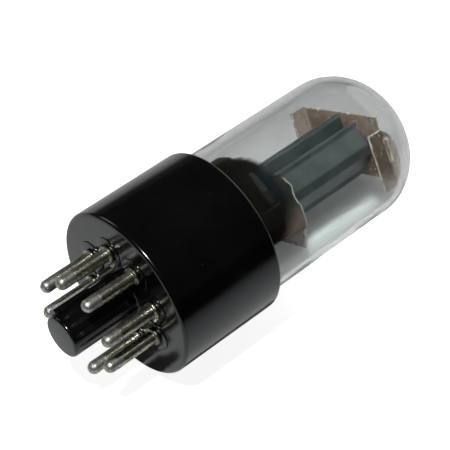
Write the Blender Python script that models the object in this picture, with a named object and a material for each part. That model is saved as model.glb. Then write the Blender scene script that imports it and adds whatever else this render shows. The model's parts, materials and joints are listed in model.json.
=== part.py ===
"""An octal-base glass receiving tube with two diodes in one bulb, lying on its side.

Every piece is modelled standing on the base's lower face, with Z along the tube's axis. The empty
"tube" then lays the whole assembly down: the dome points along +X and the base rests on the floor.
The empty "cage" turns the electrodes about the axis. Sizes are in metres.
"""

import math

import bmesh
import bpy
from mathutils import Matrix

MM = 0.001

# Fits between pieces
FIT_GAP = 0.2 * MM
BULB_FIT = 0.3 * MM

# Glass bulb
BULB_DIAMETER = 28.33 * MM
BULB_WALL = 1.0 * MM
BULB_SHOULDER_Z = 52.45 * MM
BULB_SHOULDER_RADIUS = 10.66 * MM
BULB_CROWN_RADIUS = 19.8 * MM
BULB_FOOT_Z = 9.4 * MM
BULB_TUCK_HEIGHT = 4.6 * MM
BULB_TUCK_DEPTH = 1.3 * MM

# Moulded base
BASE_WALL = 1.54 * MM
BASE_HEIGHT = 22.1 * MM
BASE_FLOOR = 2.2 * MM
BASE_FOOT_ROUND = 0.7 * MM
BASE_RIM_ROUND = 0.6 * MM
PAD_DIAMETER = 4.2 * MM
PAD_HEIGHT = 0.15 * MM

# Locating post and its key
POST_DIAMETER = 7.9 * MM
POST_LENGTH = 13.7 * MM
POST_WALL = 1.25 * MM
POST_END_WALL = 1.6 * MM
POST_END_ROUND = 0.5 * MM
KEY_WIDTH = 2.0 * MM
KEY_RISE = 0.85 * MM
KEY_END_GAP = 0.9 * MM

# Contact pins
PIN_POSITIONS = 8
PRESS_ORDER = (1, 4, 8, 2, 7, 3, 5)
PIN_USES = {
    1: "shield",
    2: "heater_front",
    3: "anode_front",
    4: "cathode_front",
    5: "anode_back",
    7: "heater_back",
    8: "cathode_back",
}
PIN_NUMBERS = tuple(PIN_USES)
PIN_CIRCLE_DIAMETER = 17.45 * MM
PIN_DIAMETER = 2.36 * MM
PIN_WALL = 0.36 * MM
PIN_LENGTH = 11.1 * MM
PIN_COLLAR_DIAMETER = 3.3 * MM
PIN_COLLAR_HEIGHT = 0.5 * MM
PIN_RIVET_HEIGHT = 0.5 * MM
SOLDER_LENGTH = 3.4 * MM
SOLDER_PLUG_LENGTH = 2.2 * MM
KEY_ANGLE = math.radians(135.0)

# Stem, exhaust tube and leads
STEM_WALL = 1.0 * MM
STEM_NECK_RADIUS = 4.6 * MM
STEM_NECK_Z = 18.0 * MM
STEM_PRESS_DROP = 4.0 * MM
STEM_PRESS_HALF_WIDTH = 6.2 * MM
STEM_PRESS_HALF_DEPTH = 1.9 * MM
EXHAUST_DIAMETER = 3.0 * MM
EXHAUST_WALL = 0.5 * MM
EXHAUST_TIP_Z = -8.0 * MM
LEAD_DIAMETER = 0.6 * MM
LEAD_CIRCLE_RADIUS = 3.0 * MM
LEAD_SPACING = 1.7 * MM
LEAD_BEND_SHARE = 0.6

# Electrode cage
CAGE_TURN = math.radians(-27.5)
MICA_THICKNESS = 0.4 * MM
TOP_MICA_RISE = 2.55 * MM
MICA_SPACING = 24.0 * MM
MICA_GLASS_GAP = 0.86 * MM
MICA_MARGIN = 0.7 * MM
PLATE_MICA_GAP = 0.3 * MM
SHIELD_OVERLAP = 0.9 * MM
SHIELD_THICKNESS = 0.4 * MM
ANODE_WIDTH = 10.0 * MM
ANODE_DEPTH = 5.2 * MM
ANODE_FLAT = 1.7 * MM
ANODE_FIN = 1.1 * MM
ANODE_SEAM = 0.2 * MM
ANODE_THICKNESS = 0.3 * MM
ANODE_TAB_PROUD = 1.0 * MM
ANODE_TAB_INSET = 0.02 * MM
CATHODE_DIAMETER = 1.8 * MM
CATHODE_WALL = 0.2 * MM
CATHODE_OFFSET = 3.3 * MM
CATHODE_PROUD = 1.4 * MM
HEATER_DIAMETER = 0.35 * MM
HEATER_LEG_OFFSET = 0.32 * MM
HEATER_PROUD = 0.8 * MM
ROD_DIAMETER = 1.0 * MM
ROD_PROUD = 1.2 * MM
VANE_INSET = 1.9 * MM
VANE_THICKNESS = 0.35 * MM
VANE_WIDTH = 11.4 * MM
VANE_GLASS_GAP = 0.3 * MM
VANE_DROP = 3.4 * MM
VANE_SIDE_HEIGHT = 3.2 * MM
VANE_RISE = 2.6 * MM
TAB_WIDTH = 4.6 * MM
TAB_PROUD = 0.5 * MM
GETTER_DIAMETER = 4.0 * MM
GETTER_DEPTH = 1.0 * MM
GETTER_GLASS_GAP = 3.96 * MM
GETTER_DROP = 2.4 * MM

# Facets round the turned pieces
BULB_SIDES = 48
PIN_SIDES = 14
LEAD_SIDES = 6
HOLE_SIDES = 10
STEM_SIDES = 28
EXHAUST_SIDES = 12
ROUND_STEPS = 3
TUCK_STEPS = 4
SHOULDER_STEPS = 7
CROWN_STEPS = 4
FLARE_STEPS = 5
MICA_STEPS = 10
SHARP_ANGLE = math.radians(35.0)

BULB_RADIUS = BULB_DIAMETER / 2
BASE_BORE = BULB_RADIUS + BULB_FIT
BASE_RADIUS = BASE_BORE + BASE_WALL
POST_RADIUS = POST_DIAMETER / 2
PIN_RADIUS = PIN_DIAMETER / 2
PIN_BORE = PIN_RADIUS - PIN_WALL
PIN_END_Z = SOLDER_LENGTH - PIN_LENGTH
PIN_CIRCLE_RADIUS = PIN_CIRCLE_DIAMETER / 2
SOLDER_PLUG_TOP_Z = PIN_END_Z + SOLDER_PLUG_LENGTH
LEAD_RADIUS = LEAD_DIAMETER / 2
TOP_MICA_Z = BULB_SHOULDER_Z + TOP_MICA_RISE
BOTTOM_MICA_Z = TOP_MICA_Z - MICA_SPACING
MICA_RADIUS = BULB_RADIUS - BULB_WALL - MICA_GLASS_GAP
VANE_FACE = MICA_RADIUS - VANE_INSET
VANE_BOTTOM_Z = TOP_MICA_Z - VANE_DROP
GETTER_Z = BOTTOM_MICA_Z - GETTER_DROP
GETTER_FACE = BULB_RADIUS - BULB_WALL - GETTER_GLASS_GAP
STEM_PRESS_Z = BOTTOM_MICA_Z - STEM_PRESS_DROP
STEM_RIM_RADIUS = BULB_RADIUS - BULB_TUCK_DEPTH - BULB_WALL - FIT_GAP
STEM_CEILING_Z = STEM_NECK_Z + STEM_WALL
STEM_TAPER_Z = (STEM_CEILING_Z + STEM_PRESS_Z) / 2
STEM_TAPER_HALF_DEPTH = (STEM_NECK_RADIUS + STEM_WALL + STEM_PRESS_HALF_DEPTH) / 2
CROWN_CENTRE_RADIUS = BULB_RADIUS - BULB_SHOULDER_RADIUS
CROWN_SWING = math.asin(CROWN_CENTRE_RADIUS / (BULB_CROWN_RADIUS - BULB_SHOULDER_RADIUS))
CROWN_CENTRE_Z = BULB_SHOULDER_Z - CROWN_CENTRE_RADIUS / math.tan(CROWN_SWING)
DOME_TOP_Z = CROWN_CENTRE_Z + BULB_CROWN_RADIUS
PLATE_BOTTOM_Z = BOTTOM_MICA_Z + MICA_THICKNESS + PLATE_MICA_GAP
PLATE_TOP_Z = TOP_MICA_Z - PLATE_MICA_GAP
ANODE_LAYER = (ANODE_SEAM + ANODE_THICKNESS) / 2
ANODE_TAB_WIDTH = ANODE_FIN - ANODE_THICKNESS
ANODE_TAB_OFFSET = (ANODE_WIDTH - ANODE_FIN) / 2
ANODE_TAB_DEPTH = CATHODE_OFFSET + ANODE_LAYER
SHIELD_HALF_WIDTH = ANODE_WIDTH / 2 + SHIELD_OVERLAP
ROD_OFFSET = SHIELD_HALF_WIDTH - SHIELD_THICKNESS / 2 - FIT_GAP - ROD_DIAMETER / 2
MICA_HALF_WIDTH = SHIELD_HALF_WIDTH + MICA_MARGIN
REST_LIFT = BASE_RADIUS * math.cos(math.pi / BULB_SIDES)
MID_LENGTH = (DOME_TOP_Z - POST_LENGTH) / 2


def material(name, colour, roughness, metallic=0.0, transmission=0.0):
    """One Principled material."""
    made = bpy.data.materials.new(name)
    made.use_nodes = True
    shader = made.node_tree.nodes["Principled BSDF"]
    shader.inputs["Base Color"].default_value = (*colour, 1.0)
    shader.inputs["Roughness"].default_value = roughness
    shader.inputs["Metallic"].default_value = metallic
    shader.inputs["Transmission Weight"].default_value = transmission
    return made


def add_object(name, mesh, parent, finish):
    """A named piece under its parent, shaded smooth apart from its sharp edges."""
    piece = bpy.data.objects.new(name, mesh)
    bpy.context.scene.collection.objects.link(piece)
    piece.parent = parent
    mesh.materials.append(finish)
    mesh.shade_smooth()
    mesh.set_sharp_from_angle(angle=SHARP_ANGLE)
    return piece


def finished_mesh(name, bm):
    """The mesh of a closed bmesh, with its faces turned outwards."""
    bmesh.ops.recalc_face_normals(bm, faces=bm.faces[:])
    mesh = bpy.data.meshes.new(name)
    bm.to_mesh(mesh)
    bm.free()
    return mesh


def ring_of(bm, half_x, half_y, height, sides):
    """One ring of points, or a single point on the axis where the ring has no size."""
    if half_x == 0:
        return [bm.verts.new((0, 0, height))]
    ring = []
    for side in range(sides):
        angle = 2 * math.pi * (side + 0.5) / sides
        ring.append(bm.verts.new((half_x * math.cos(angle), half_y * math.sin(angle), height)))
    return ring


def bridge(bm, lower, upper):
    """Faces between two rings, either of which may be a single point."""
    sides = max(len(lower), len(upper))
    for side in range(sides):
        after = (side + 1) % sides
        corners = [lower[side % len(lower)], lower[after % len(lower)]]
        corners += [upper[after % len(upper)], upper[side % len(upper)]]
        bm.faces.new(list(dict.fromkeys(corners)))


def lofted_mesh(name, rings, sides, looped=False):
    """A skin over rings of (half width, half depth, height); a looped one joins its ends."""
    bm = bmesh.new()
    made = [ring_of(bm, half_x, half_y, height, sides) for half_x, half_y, height in rings]
    for lower, upper in zip(made, made[1:]):
        bridge(bm, lower, upper)
    if looped:
        bridge(bm, made[-1], made[0])
    else:
        for end in (made[0], made[-1]):
            if len(end) > 1:
                bm.faces.new(end)
    return finished_mesh(name, bm)


def turned_mesh(name, profile, sides, looped=False):
    """A turned solid from a profile of (radius, height)."""
    return lofted_mesh(name, [(radius, radius, height) for radius, height in profile], sides, looped)


def prism_mesh(name, outline, depth):
    """A flat outline in XY, extruded up by depth."""
    bm = bmesh.new()
    face = bm.faces.new([bm.verts.new((x, y, 0)) for x, y in outline])
    grown = bmesh.ops.extrude_face_region(bm, geom=[face])
    raised = [item for item in grown["geom"] if isinstance(item, bmesh.types.BMVert)]
    bmesh.ops.translate(bm, vec=(0, 0, depth), verts=raised)
    return finished_mesh(name, bm)


def block_mesh(name, width, depth, low, high):
    """A block about the axis, between two heights."""
    x = width / 2
    y = depth / 2
    mesh = prism_mesh(name, [(-x, -y), (x, -y), (x, y), (-x, y)], high - low)
    mesh.transform(Matrix.Translation((0, 0, low)))
    return mesh


def arc(centre, radius, start, end, steps):
    """Points along an arc, as (first, second) coordinates."""
    points = []
    for step in range(steps + 1):
        angle = start + (end - start) * step / steps
        points.append((centre[0] + radius * math.cos(angle), centre[1] + radius * math.sin(angle)))
    return points


def sheet_outline(path, thickness):
    """The outline of a folded sheet, from its middle line in XY."""
    left, right = [], []
    for index, (x, y) in enumerate(path):
        before = path[max(index - 1, 0)]
        after = path[min(index + 1, len(path) - 1)]
        turn_in = math.atan2(y - before[1], x - before[0]) if index else None
        turn_out = math.atan2(after[1] - y, after[0] - x) if index < len(path) - 1 else turn_in
        turn_in = turn_out if turn_in is None else turn_in
        bend = math.remainder(turn_out - turn_in, 2 * math.pi)
        normal = turn_in + bend / 2 + math.pi / 2
        reach = thickness / 2 / math.cos(bend / 2)
        left.append((x + reach * math.cos(normal), y + reach * math.sin(normal)))
        right.append((x - reach * math.cos(normal), y - reach * math.sin(normal)))
    return left + right[::-1]


def wire(name, points, diameter, parent, finish, sides=LEAD_SIDES):
    """A round wire along straight stretches, with mitred bends and flat ends."""
    bm = bmesh.new()
    rings = []
    for index, point in enumerate(points):
        before = points[max(index - 1, 0)]
        after = points[min(index + 1, len(points) - 1)]
        into = tuple(b - a for a, b in zip(before, point)) if index else None
        out = tuple(b - a for a, b in zip(point, after)) if index < len(points) - 1 else None
        rings.append(mitred_ring(bm, point, into or out, out or into, diameter / 2, sides))
    for lower, upper in zip(rings, rings[1:]):
        bridge(bm, lower, upper)
    bm.faces.new(rings[0])
    bm.faces.new(rings[-1])
    return add_object(name, finished_mesh(name, bm), parent, finish)


def mitred_ring(bm, point, into, out, radius, sides):
    """A ring of points about a bend, in the plane that halves it. No stretch lies along X."""
    unit_in = Matrix.Translation(into).to_translation().normalized()
    unit_out = Matrix.Translation(out).to_translation().normalized()
    normal = (unit_in + unit_out).normalized()
    across = unit_in.cross((1, 0, 0)).normalized()
    beside = unit_in.cross(across)
    ring = []
    for side in range(sides):
        angle = 2 * math.pi * side / sides
        offset = across * (radius * math.cos(angle)) + beside * (radius * math.sin(angle))
        slide = -offset.dot(normal) / unit_in.dot(normal)
        spot = Matrix.Translation(point).to_translation() + offset + unit_in * slide
        ring.append(bm.verts.new(spot))
    return ring


def boolean(piece, cutter, operation):
    """Cuts or joins a hidden helper."""
    cutter.hide_render = True
    cutter.display_type = "WIRE"
    modifier = piece.modifiers.new(cutter.name, "BOOLEAN")
    modifier.operation = operation
    modifier.object = cutter


def helper(name, meshes, parent):
    """Several closed meshes, each with its own matrix, gathered in one hidden object."""
    bm = bmesh.new()
    for mesh, place in meshes:
        mesh.transform(place)
        bm.from_mesh(mesh)
    gathered = bpy.data.meshes.new(name)
    bm.to_mesh(gathered)
    bm.free()
    made = bpy.data.objects.new(name, gathered)
    bpy.context.scene.collection.objects.link(made)
    made.parent = parent
    return made


def empty(name, parent=None):
    """A named empty."""
    made = bpy.data.objects.new(name, None)
    bpy.context.scene.collection.objects.link(made)
    made.parent = parent
    return made


def pin_angle(number):
    """Where a pin stands: pins are counted from the key, clockwise as seen from below."""
    return KEY_ANGLE + 2 * math.pi / PIN_POSITIONS * (number - 0.5)


def pin_place(number, height=0.0):
    """A pin's centre at a height."""
    angle = pin_angle(number)
    return (PIN_CIRCLE_RADIUS * math.cos(angle), PIN_CIRCLE_RADIUS * math.sin(angle), height)


def dome_profile(inset):
    """Shoulder and crown of the dome, from the straight wall up to the axis."""
    shoulder = BULB_SHOULDER_RADIUS - inset
    crown = BULB_CROWN_RADIUS - inset
    rise = math.pi / 2 - CROWN_SWING
    points = arc((CROWN_CENTRE_RADIUS, BULB_SHOULDER_Z), shoulder, 0, rise, SHOULDER_STEPS)
    points += arc((0, CROWN_CENTRE_Z), crown, rise, math.pi / 2, CROWN_STEPS)[1:-1]
    return points + [(0, CROWN_CENTRE_Z + crown)]


def tuck_profile(inset):
    """The foot of the bulb, drawn in towards its seal with the stem, from the foot upwards."""
    points = []
    for step in range(TUCK_STEPS + 1):
        swing = math.pi / 2 * (1 - step / TUCK_STEPS)
        radius = BULB_RADIUS - BULB_TUCK_DEPTH * (1 - math.cos(swing)) - inset
        points.append((radius, BULB_FOOT_Z + BULB_TUCK_HEIGHT * (1 - math.sin(swing))))
    return points


def bulb_bore(height):
    """The inner radius of the bulb at a height in its straight wall or its shoulder."""
    above = max(height - BULB_SHOULDER_Z, 0)
    return CROWN_CENTRE_RADIUS + math.sqrt((BULB_SHOULDER_RADIUS - BULB_WALL) ** 2 - above**2)


def make_base(tube, finish):
    """A moulded cup with a hollow locating post, a key rib and a round pad at each pin place."""
    quarter = math.pi / 2
    post_round = (POST_RADIUS - POST_END_ROUND, POST_END_ROUND - POST_LENGTH)
    foot_round = (BASE_RADIUS - BASE_FOOT_ROUND, BASE_FOOT_ROUND)
    rim_round = (BASE_RADIUS - BASE_RIM_ROUND, BASE_HEIGHT - BASE_RIM_ROUND)
    outer = [(0, -POST_LENGTH)]
    outer += arc(post_round, POST_END_ROUND, -quarter, 0, ROUND_STEPS)
    outer += [(POST_RADIUS, 0)]
    outer += arc(foot_round, BASE_FOOT_ROUND, -quarter, 0, ROUND_STEPS)
    outer += arc(rim_round, BASE_RIM_ROUND, 0, quarter, ROUND_STEPS)
    post_bore = POST_RADIUS - POST_WALL
    inner = [(BASE_BORE, BASE_HEIGHT), (BASE_BORE, BASE_FLOOR), (post_bore, BASE_FLOOR)]
    inner += [(post_bore, POST_END_WALL - POST_LENGTH), (0, POST_END_WALL - POST_LENGTH)]
    base = add_object("base", turned_mesh("base", outer + inner, BULB_SIDES), tube, finish)
    sunk = BASE_FLOOR / 2
    added = []
    for number in range(1, PIN_POSITIONS + 1):
        pad = turned_mesh("pad", [(PAD_DIAMETER / 2, -PAD_HEIGHT), (PAD_DIAMETER / 2, sunk)], PIN_SIDES)
        added.append((pad, Matrix.Translation(pin_place(number))))
    rib_end = POST_RADIUS + KEY_RISE
    rib_low = KEY_END_GAP - POST_LENGTH
    half = KEY_WIDTH / 2
    post_middle = POST_RADIUS - POST_WALL / 2
    rib = [(post_middle, -half), (rib_end, -half), (rib_end, half), (post_middle, half)]
    raised = prism_mesh("rib", rib, sunk - rib_low)
    added.append((raised, Matrix.Rotation(KEY_ANGLE, 4, "Z") @ Matrix.Translation((0, 0, rib_low))))
    boolean(base, helper("base_raised", added, tube), "UNION")
    hole = PIN_RADIUS + FIT_GAP
    holes = []
    for number in PIN_NUMBERS:
        through = turned_mesh("hole", [(hole, -2 * PAD_HEIGHT), (hole, 2 * BASE_FLOOR)], PIN_SIDES)
        holes.append((through, Matrix.Translation(pin_place(number))))
    boolean(base, helper("pin_holes", holes, tube), "DIFFERENCE")


def make_cement(tube, finish):
    """The ring of cement in the wedge between the base's wall and the tucked foot of the bulb."""
    outside = BASE_BORE - FIT_GAP
    inside = [(radius + FIT_GAP, height) for radius, height in tuck_profile(0)[:3]]
    foot = BULB_FOOT_Z - 3 * FIT_GAP
    profile = [(inside[0][0], foot), (outside, foot), (outside, inside[-1][1])] + inside[::-1]
    add_object("base_cement", turned_mesh("base_cement", profile, BULB_SIDES, looped=True), tube, finish)


def make_bulb(tube, finish):
    """The blown envelope: straight wall, domed top and a tucked foot left open for the stem."""
    outer = tuck_profile(0) + dome_profile(0)
    inner = tuck_profile(BULB_WALL) + dome_profile(BULB_WALL)
    add_object("glass_bulb", turned_mesh("glass_bulb", inner[::-1] + outer, BULB_SIDES), tube, finish)


def make_stem(cage, finish):
    """A flared tube, sealed into the bulb's foot at its rim and pinched flat round the leads."""
    flare = []
    inner_rim = STEM_RIM_RADIUS - STEM_WALL
    for step in range(FLARE_STEPS + 1):
        share = step / FLARE_STEPS
        radius = STEM_NECK_RADIUS + (inner_rim - STEM_NECK_RADIUS) * (1 - share) ** 3
        flare.append((radius, BULB_FOOT_Z + (STEM_NECK_Z - BULB_FOOT_Z) * share))
    rings = [(0, 0, STEM_NECK_Z)]
    rings += [(radius, radius, height) for radius, height in flare[::-1]]
    rings += [(radius + STEM_WALL, radius + STEM_WALL, height) for radius, height in flare]
    neck = STEM_NECK_RADIUS + STEM_WALL
    rings += [(neck, neck, STEM_CEILING_Z)]
    rings += [(STEM_PRESS_HALF_WIDTH, STEM_TAPER_HALF_DEPTH, STEM_TAPER_Z)]
    rings += [(STEM_PRESS_HALF_WIDTH, STEM_PRESS_HALF_DEPTH, STEM_PRESS_Z)]
    add_object("glass_stem", lofted_mesh("glass_stem", rings, STEM_SIDES), cage, finish)


def make_exhaust_tube(tube, finish):
    """The pumping tube under the stem, sealed off to a tip inside the locating post."""
    outside = EXHAUST_DIAMETER / 2
    inside = outside - EXHAUST_WALL
    top = STEM_NECK_Z - FIT_GAP
    taper_top = EXHAUST_TIP_Z + EXHAUST_DIAMETER
    tip = [(0, EXHAUST_TIP_Z), (outside / 2, EXHAUST_TIP_Z + outside / 3), (outside, taper_top)]
    bore = [(inside, top), (inside, taper_top), (0, EXHAUST_TIP_Z + outside)]
    profile = tip + [(outside, top)] + bore
    add_object("exhaust_tube", turned_mesh("exhaust_tube", profile, EXHAUST_SIDES), tube, finish)


def make_pins(tube, nickel, solder, copper):
    """Hollow contact pins riveted into the base, with solder in each end and a lead in each bore."""
    collar = PIN_COLLAR_DIAMETER / 2
    collar_top = -PAD_HEIGHT - FIT_GAP
    rivet_low = BASE_FLOOR + FIT_GAP
    rivet_top = rivet_low + PIN_RIVET_HEIGHT
    shell = [(PIN_BORE, PIN_END_Z), (PIN_RADIUS, PIN_END_Z), (PIN_RADIUS, collar_top - PIN_COLLAR_HEIGHT)]
    shell += [(collar, collar_top - PIN_COLLAR_HEIGHT), (collar, collar_top), (PIN_RADIUS, collar_top)]
    shell += [(PIN_RADIUS, rivet_low), (collar, rivet_low), (collar, rivet_top), (PIN_BORE, rivet_top)]
    plug = PIN_BORE - FIT_GAP
    cap_top = PIN_END_Z - FIT_GAP
    cap = [(0, -PIN_LENGTH)]
    for step in range(1, ROUND_STEPS + 1):
        swing = math.pi / 2 * step / ROUND_STEPS
        cap.append((PIN_RADIUS * math.sin(swing), PIN_RADIUS * (1 - math.cos(swing)) - PIN_LENGTH))
    cap += [(PIN_RADIUS, cap_top), (plug, cap_top), (plug, SOLDER_PLUG_TOP_Z), (0, SOLDER_PLUG_TOP_Z)]
    for number in PIN_NUMBERS:
        name = f"pin_{number}"
        pin = add_object(name, turned_mesh(name, shell, PIN_SIDES, looped=True), tube, nickel)
        pin.location = pin_place(number)
        name = f"solder_tip_{number}"
        tip = add_object(name, turned_mesh(name, cap, PIN_SIDES), tube, solder)
        tip.location = pin_place(number)
        make_outer_lead(tube, number, rivet_top, copper)


def make_outer_lead(tube, number, rivet_top, finish):
    """A lead from the solder in a pin, up its bore and in under the stem."""
    angle = pin_angle(number)
    inner = (LEAD_CIRCLE_RADIUS * math.cos(angle), LEAD_CIRCLE_RADIUS * math.sin(angle))
    points = [pin_place(number, SOLDER_PLUG_TOP_Z + FIT_GAP), pin_place(number, rivet_top + LEAD_DIAMETER)]
    points += [(*inner, (BASE_FLOOR + STEM_NECK_Z) / 2), (*inner, STEM_NECK_Z - FIT_GAP)]
    wire(f"outer_lead_{number}", points, LEAD_DIAMETER, tube, finish)


def mica_outline():
    """A strip of mica with round ends, along Y."""
    swing = math.acos(MICA_HALF_WIDTH / MICA_RADIUS)
    points = arc((0, 0), MICA_RADIUS, swing, math.pi - swing, MICA_STEPS)
    return points + [(-x, -y) for x, y in points]


def capped_outline():
    """The top strip: it stops short of the two upright vanes and puts a tab through each."""
    reach = VANE_FACE - VANE_THICKNESS / 2 - FIT_GAP
    tab_end = VANE_FACE + VANE_THICKNESS / 2 + TAB_PROUD
    half = TAB_WIDTH / 2
    points = []
    for side in (1, -1):
        shoulder = math.sqrt(max(MICA_RADIUS**2 - reach**2, 0))
        corner = min(shoulder, MICA_HALF_WIDTH)
        low = math.sqrt(MICA_RADIUS**2 - MICA_HALF_WIDTH**2)
        points += [(side * MICA_HALF_WIDTH, side * min(low, reach)), (side * corner, side * reach)]
        points += [(side * half, side * reach), (side * half, side * tab_end)]
        points += [(-side * half, side * tab_end), (-side * half, side * reach)]
        points += [(-side * corner, side * reach), (-side * MICA_HALF_WIDTH, side * min(low, reach))]
    return list(dict.fromkeys(points))


def electrode_holes(height, cage):
    """Holes through a mica for the cathodes, the support rods and the anodes' tabs."""
    low = height - MICA_THICKNESS
    high = height + 2 * MICA_THICKNESS
    slot = block_mesh("slot", ANODE_TAB_WIDTH + 2 * FIT_GAP, ANODE_THICKNESS + 2 * FIT_GAP, low, high)
    cathode = CATHODE_DIAMETER / 2 + FIT_GAP
    rod = ROD_DIAMETER / 2 + FIT_GAP
    holes = []
    for side in (1, -1):
        bore = turned_mesh("hole", [(cathode, low), (cathode, high)], HOLE_SIDES)
        holes.append((bore, Matrix.Translation((0, side * CATHODE_OFFSET, 0))))
        bore = turned_mesh("hole", [(rod, low), (rod, high)], HOLE_SIDES)
        holes.append((bore, Matrix.Translation((side * ROD_OFFSET, rod_depth(), 0))))
        for depth in (ANODE_TAB_DEPTH, -ANODE_TAB_DEPTH):
            holes.append((slot.copy(), Matrix.Translation((side * ANODE_TAB_OFFSET, depth, 0))))
    return helper(f"mica_holes_{round(height / MM)}", holes, cage)


def rod_depth():
    """The support rods stand against the back of the shield."""
    return SHIELD_THICKNESS / 2 + FIT_GAP + ROD_DIAMETER / 2


def make_micas(cage, finish):
    """The two insulating strips that space the electrodes, and the two upright vanes on the upper one."""
    strip = prism_mesh("bottom_mica", mica_outline(), MICA_THICKNESS)
    bottom = add_object("bottom_mica", strip, cage, finish)
    bottom.location.z = BOTTOM_MICA_Z
    strip = prism_mesh("top_mica", capped_outline(), MICA_THICKNESS)
    top = add_object("top_mica", strip, cage, finish)
    top.location.z = TOP_MICA_Z
    boolean(bottom, electrode_holes(BOTTOM_MICA_Z, cage), "DIFFERENCE")
    boolean(top, electrode_holes(TOP_MICA_Z, cage), "DIFFERENCE")
    for name, side in (("vane_front", -1), ("vane_back", 1)):
        make_vane(cage, name, side, finish)


def make_vane(cage, name, side, finish):
    """An upright mica leaf with an arched top, held by the tab of the top strip."""
    half = VANE_WIDTH / 2
    side_top = VANE_BOTTOM_Z + VANE_SIDE_HEIGHT
    span = (half * half + VANE_RISE * VANE_RISE) / (2 * VANE_RISE)
    swing = math.asin(half / span)
    crown = arc((0, side_top + VANE_RISE - span), span, math.pi / 2 - swing, math.pi / 2 + swing, MICA_STEPS)
    outline = [(-half, VANE_BOTTOM_Z), (half, VANE_BOTTOM_Z)] + crown
    mesh = prism_mesh(name, outline, VANE_THICKNESS)
    mesh.transform(Matrix.Translation((0, VANE_THICKNESS / 2, 0)) @ Matrix.Rotation(math.pi / 2, 4, "X"))
    vane = add_object(name, mesh, cage, finish)
    beyond = VANE_FACE + VANE_THICKNESS / 2
    edge = math.sqrt(bulb_bore(side_top) ** 2 - beyond**2) - VANE_GLASS_GAP
    vane.location = (side * (half - edge), side * VANE_FACE, 0)
    slot_half = TAB_WIDTH / 2 + FIT_GAP
    slot = [(-slot_half, -VANE_THICKNESS), (slot_half, -VANE_THICKNESS)]
    slot += [(slot_half, VANE_THICKNESS), (-slot_half, VANE_THICKNESS)]
    cut = prism_mesh("slot", slot, MICA_THICKNESS + 2 * FIT_GAP)
    place = Matrix.Translation((0, side * VANE_FACE, TOP_MICA_Z - FIT_GAP))
    boolean(vane, helper(f"{name}_slot", [(cut, place)], cage), "DIFFERENCE")


def lead_target(use):
    """Where the inner lead for each use rises to in the cage."""
    beside_cathode = -CATHODE_DIAMETER / 2 - 2 * FIT_GAP - LEAD_RADIUS
    places = {
        "shield": (-ROD_OFFSET, rod_depth()),
        "heater_front": (HEATER_LEG_OFFSET, -CATHODE_OFFSET),
        "anode_front": (ANODE_TAB_OFFSET, -ANODE_TAB_DEPTH),
        "cathode_front": (beside_cathode, -CATHODE_OFFSET),
        "anode_back": (ANODE_TAB_OFFSET, ANODE_TAB_DEPTH),
        "heater_back": (HEATER_LEG_OFFSET, CATHODE_OFFSET),
        "cathode_back": (beside_cathode, CATHODE_OFFSET),
    }
    return places[use]


def lead_stop(use):
    """The height of what an inner lead is welded to."""
    if use == "shield":
        return BOTTOM_MICA_Z - ROD_PROUD
    if use.startswith("heater"):
        return BOTTOM_MICA_Z - CATHODE_PROUD - HEATER_PROUD
    return BOTTOM_MICA_Z - (ANODE_TAB_PROUD if use.startswith("anode") else 0)


def make_inner_leads(cage, finish):
    """Nickel leads from the press to the electrodes. Each stops just short of what it is welded to."""
    start = STEM_PRESS_Z + FIT_GAP
    for place, number in enumerate(PRESS_ORDER):
        use = PIN_USES[number]
        x, y = lead_target(use)
        foot = ((place - (len(PRESS_ORDER) - 1) / 2) * LEAD_SPACING, 0)
        stop = lead_stop(use) - FIT_GAP
        bend = start + (stop - start) * LEAD_BEND_SHARE
        points = [(*foot, start), (*foot, start + LEAD_RADIUS), (x, y, bend), (x, y, stop)]
        wire(f"inner_lead_{number}", points, LEAD_DIAMETER, cage, finish)


def make_shield(cage, finish):
    """A flat screen between the two diodes, with a folded edge down each side."""
    half = SHIELD_HALF_WIDTH
    fold = 3 * SHIELD_THICKNESS
    outline = sheet_outline([(-half, fold), (-half, 0), (half, 0), (half, fold)], SHIELD_THICKNESS)
    mesh = prism_mesh("shield", outline, PLATE_TOP_Z - PLATE_BOTTOM_Z)
    add_object("shield", mesh, cage, finish).location.z = PLATE_BOTTOM_Z


def make_anode(cage, which, side, finish):
    """A six-sided anode, folded from one strip with a flat fin down each side and tabs through the micas."""
    half = ANODE_WIDTH / 2 - ANODE_THICKNESS / 2
    fin = ANODE_WIDTH / 2 - ANODE_FIN
    flat = ANODE_FLAT / 2
    deep = (ANODE_DEPTH - ANODE_THICKNESS) / 2
    path = [(-half, ANODE_LAYER), (-fin, ANODE_LAYER), (-flat, deep), (flat, deep), (fin, ANODE_LAYER)]
    path += [(half, ANODE_LAYER)]
    path += [(x, -y) for x, y in path[::-1]]
    folded = [(side * x, side * (y + CATHODE_OFFSET)) for x, y in path]
    outline = sheet_outline(folded, ANODE_THICKNESS)
    name = f"anode_{which}"
    mesh = prism_mesh(name, outline, PLATE_TOP_Z - PLATE_BOTTOM_Z)
    mesh.transform(Matrix.Translation((0, 0, PLATE_BOTTOM_Z)))
    anode = add_object(name, mesh, cage, finish)
    thinner = ANODE_THICKNESS - 2 * ANODE_TAB_INSET
    inside = 2 * ANODE_THICKNESS
    spans = [(BOTTOM_MICA_Z - ANODE_TAB_PROUD, PLATE_BOTTOM_Z + inside)]
    spans += [(PLATE_TOP_Z - inside, TOP_MICA_Z + MICA_THICKNESS + ANODE_TAB_PROUD)]
    tabs = []
    for low, high in spans:
        for across in (ANODE_TAB_OFFSET, -ANODE_TAB_OFFSET):
            tab = block_mesh("tab", ANODE_TAB_WIDTH, thinner, low, high)
            tabs.append((tab, Matrix.Translation((across, side * ANODE_TAB_DEPTH, 0))))
    boolean(anode, helper(f"{name}_tabs", tabs, cage), "UNION")


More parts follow.
